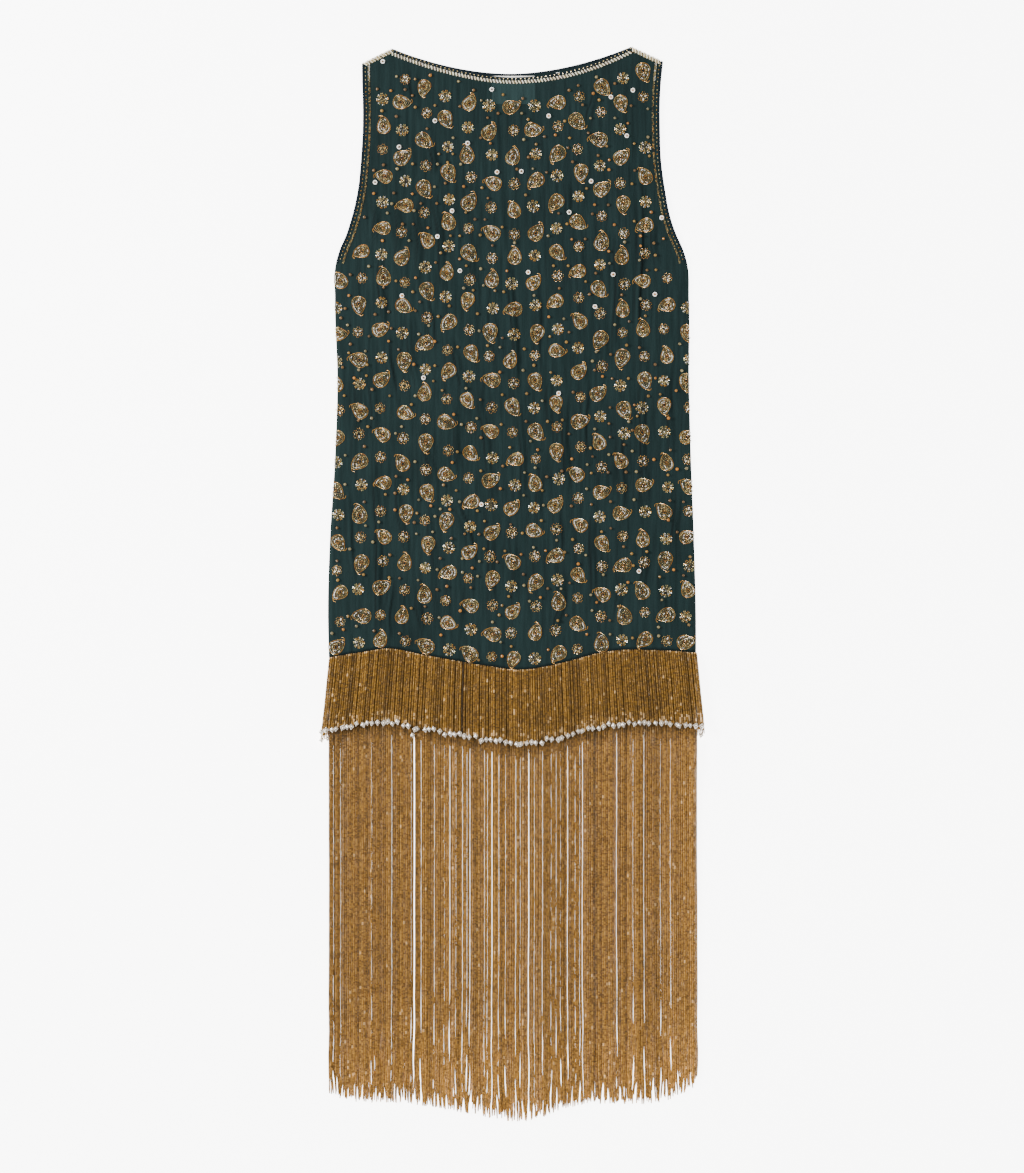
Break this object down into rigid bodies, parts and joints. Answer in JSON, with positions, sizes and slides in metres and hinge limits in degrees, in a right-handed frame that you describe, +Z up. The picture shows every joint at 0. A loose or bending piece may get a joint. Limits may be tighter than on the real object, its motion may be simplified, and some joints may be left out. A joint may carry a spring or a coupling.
{
  "type": "sleeveless shift dress with a beaded fringe hem, laid flat",
  "caption": "Sleeveless boat-neck shift dress laid flat on its back: crinkled sheer body with raised bead motifs, beaded neck and armholes, and a two-tier beaded fringe hem.",
  "frame": {"origin": "centre of the bounding box, on the surface that the dress lies on", "axes": "+X to the viewer's right across the dress, +Y from hem to neck, +Z up from the surface through back then front"},
  "size_m": [0.503, 1.4175, 0.0136],
  "materials": {
    "crepe": "crinkled sheer crepe",
    "binding": "matte self binding",
    "trim_beads": "silver-lined glass beads",
    "gold_beads": "antique gold glass beads",
    "pale_gold_beads": "pale gold glass beads",
    "label": "blank woven satin"
  },
  "bodies": {
    "root": {"back_panel": "crepe", "front_panel": "crepe", "back_neck_binding": "binding", "front_neck_binding": "binding", "left_front_armhole_binding": "binding", "right_front_armhole_binding": "binding", "left_back_armhole_binding": "binding", "right_back_armhole_binding": "binding", "neck_bead_band": "trim_beads", "left_shoulder_bead_band": "trim_beads", "right_shoulder_bead_band": "trim_beads", "left_armhole_bead_band": "trim_beads", "right_armhole_bead_band": "trim_beads", "neck_label": "label", "size_tab": "label", "front_short_fringe": "gold_beads", "back_short_fringe": "gold_beads", "front_long_fringe": "pale_gold_beads", "back_long_fringe": "pale_gold_beads"}
  },
  "joints": []
}
